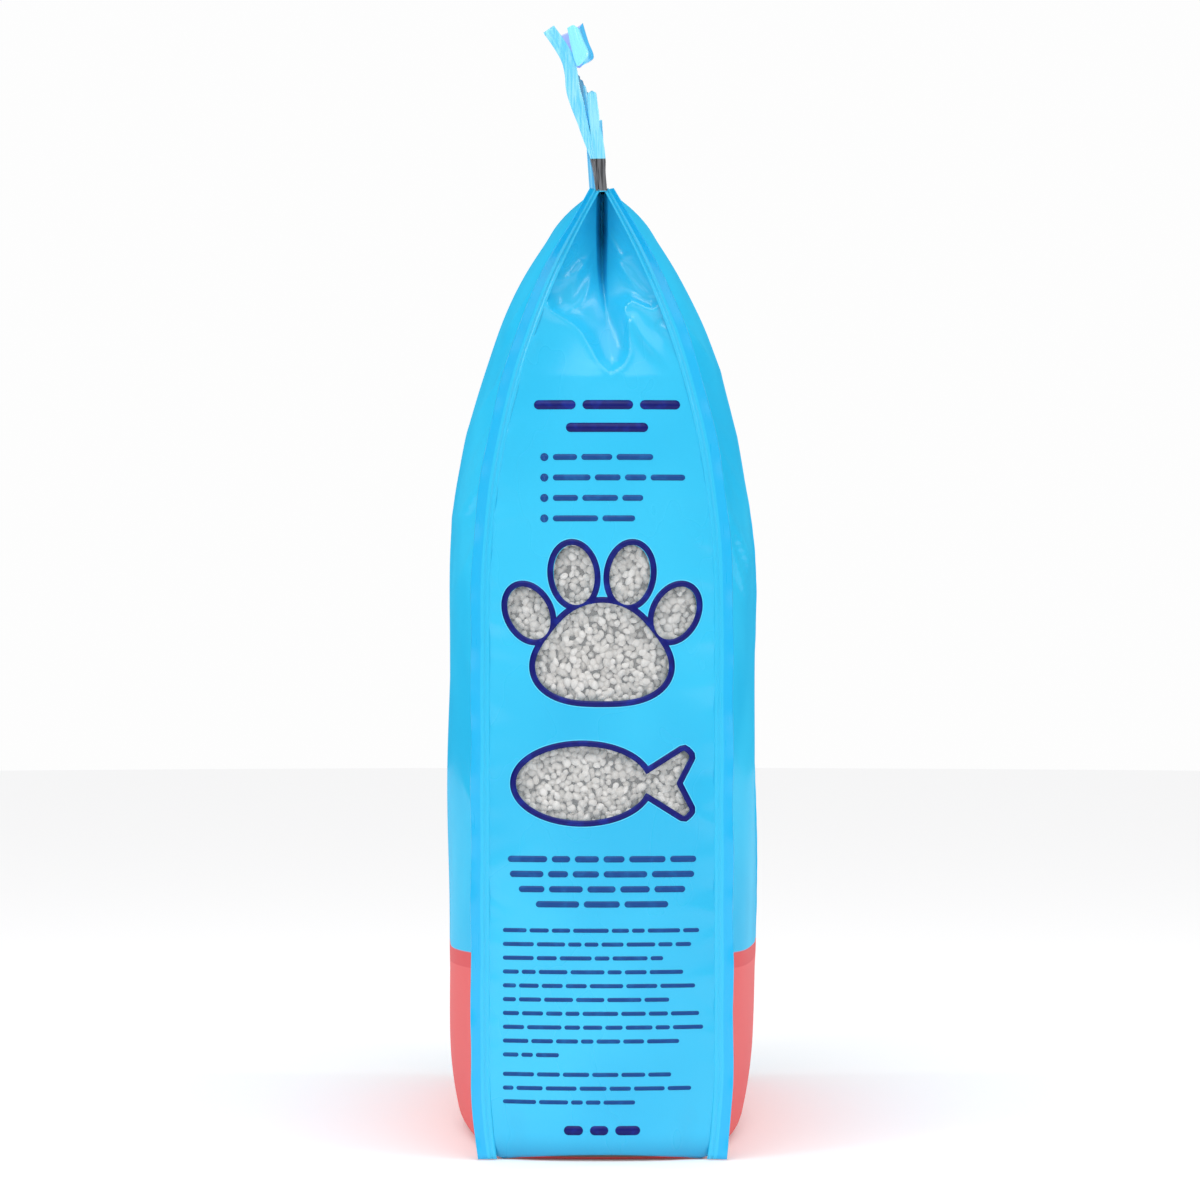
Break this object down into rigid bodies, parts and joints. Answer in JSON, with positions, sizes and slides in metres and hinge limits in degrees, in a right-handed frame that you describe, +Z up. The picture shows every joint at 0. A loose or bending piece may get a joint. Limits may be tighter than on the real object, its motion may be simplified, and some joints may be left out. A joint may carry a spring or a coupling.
{
  "type": "cat litter bag",
  "caption": "Upright side-gusset film bag of cat litter with corner fins, a rounded shouldered body, a flat leaning header and a see-through paw and fish window.",
  "frame": {"origin": "middle of the base, on the surface the bag stands on", "axes": "+Z up; +X and -X out of the broad panels, with the back seam on +X; -Y out of the side gusset that has the window"},
  "size_m": [0.1668, 0.359, 0.5675],
  "materials": {
    "film": "glossy cyan film, coral at the foot of the broad panels",
    "clear_film": "clear glossy film",
    "litter": "matt off-white clay crumbs"
  },
  "bodies": {
    "root": {"film_bag": "film", "window_film": "clear_film", "litter_fill": "litter"}
  },
  "joints": []
}
